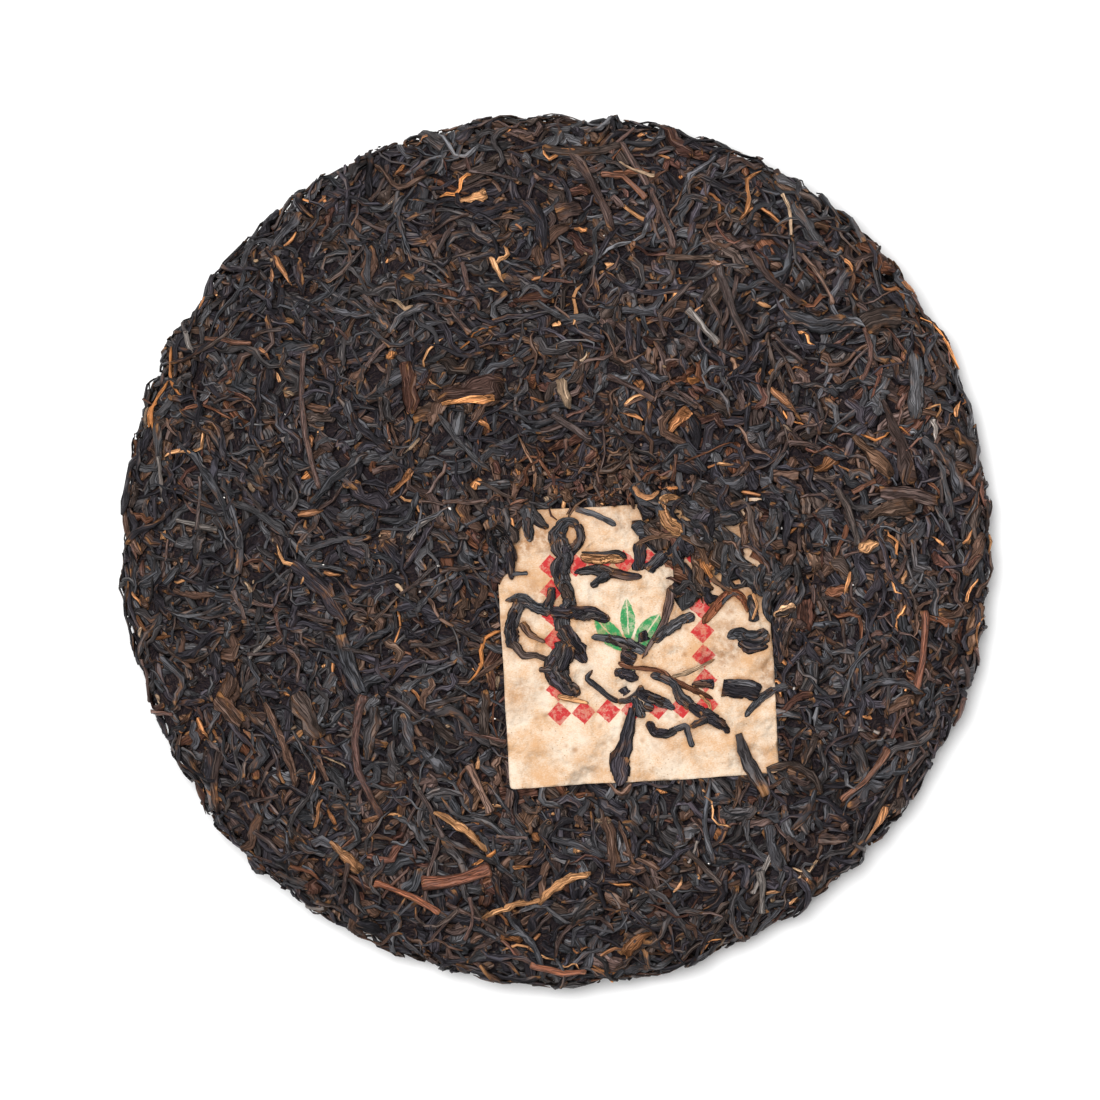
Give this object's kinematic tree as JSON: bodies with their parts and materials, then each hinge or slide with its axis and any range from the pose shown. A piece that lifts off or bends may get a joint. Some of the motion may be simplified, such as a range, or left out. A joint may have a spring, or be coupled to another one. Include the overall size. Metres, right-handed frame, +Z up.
{
  "type": "pu erh tea cake",
  "caption": "Round cake of pressed tea leaves, gently domed, with a rounded rim, a knot hollow underneath and a square paper ticket half buried in its face.",
  "frame": {"origin": "under the middle of the cake, on the surface that it rests on", "axes": "+Z up out of the ticket's face, +X to the right and +Y up the face as the ticket is read"},
  "size_m": [0.1984, 0.1992, 0.0274],
  "materials": {
    "tea": "satin",
    "loose_leaf": "satin",
    "ticket_paper": "matte"
  },
  "bodies": {
    "root": {"cake": "tea", "ticket": "ticket_paper", "leaf_clump_left": "loose_leaf", "leaf_clump_middle": "loose_leaf", "leaf_tan": "loose_leaf", "leaf_dark": "loose_leaf", "leaf_bottom": "loose_leaf", "leaf_curl": "loose_leaf", "leaf_block": "loose_leaf"}
  },
  "joints": []
}
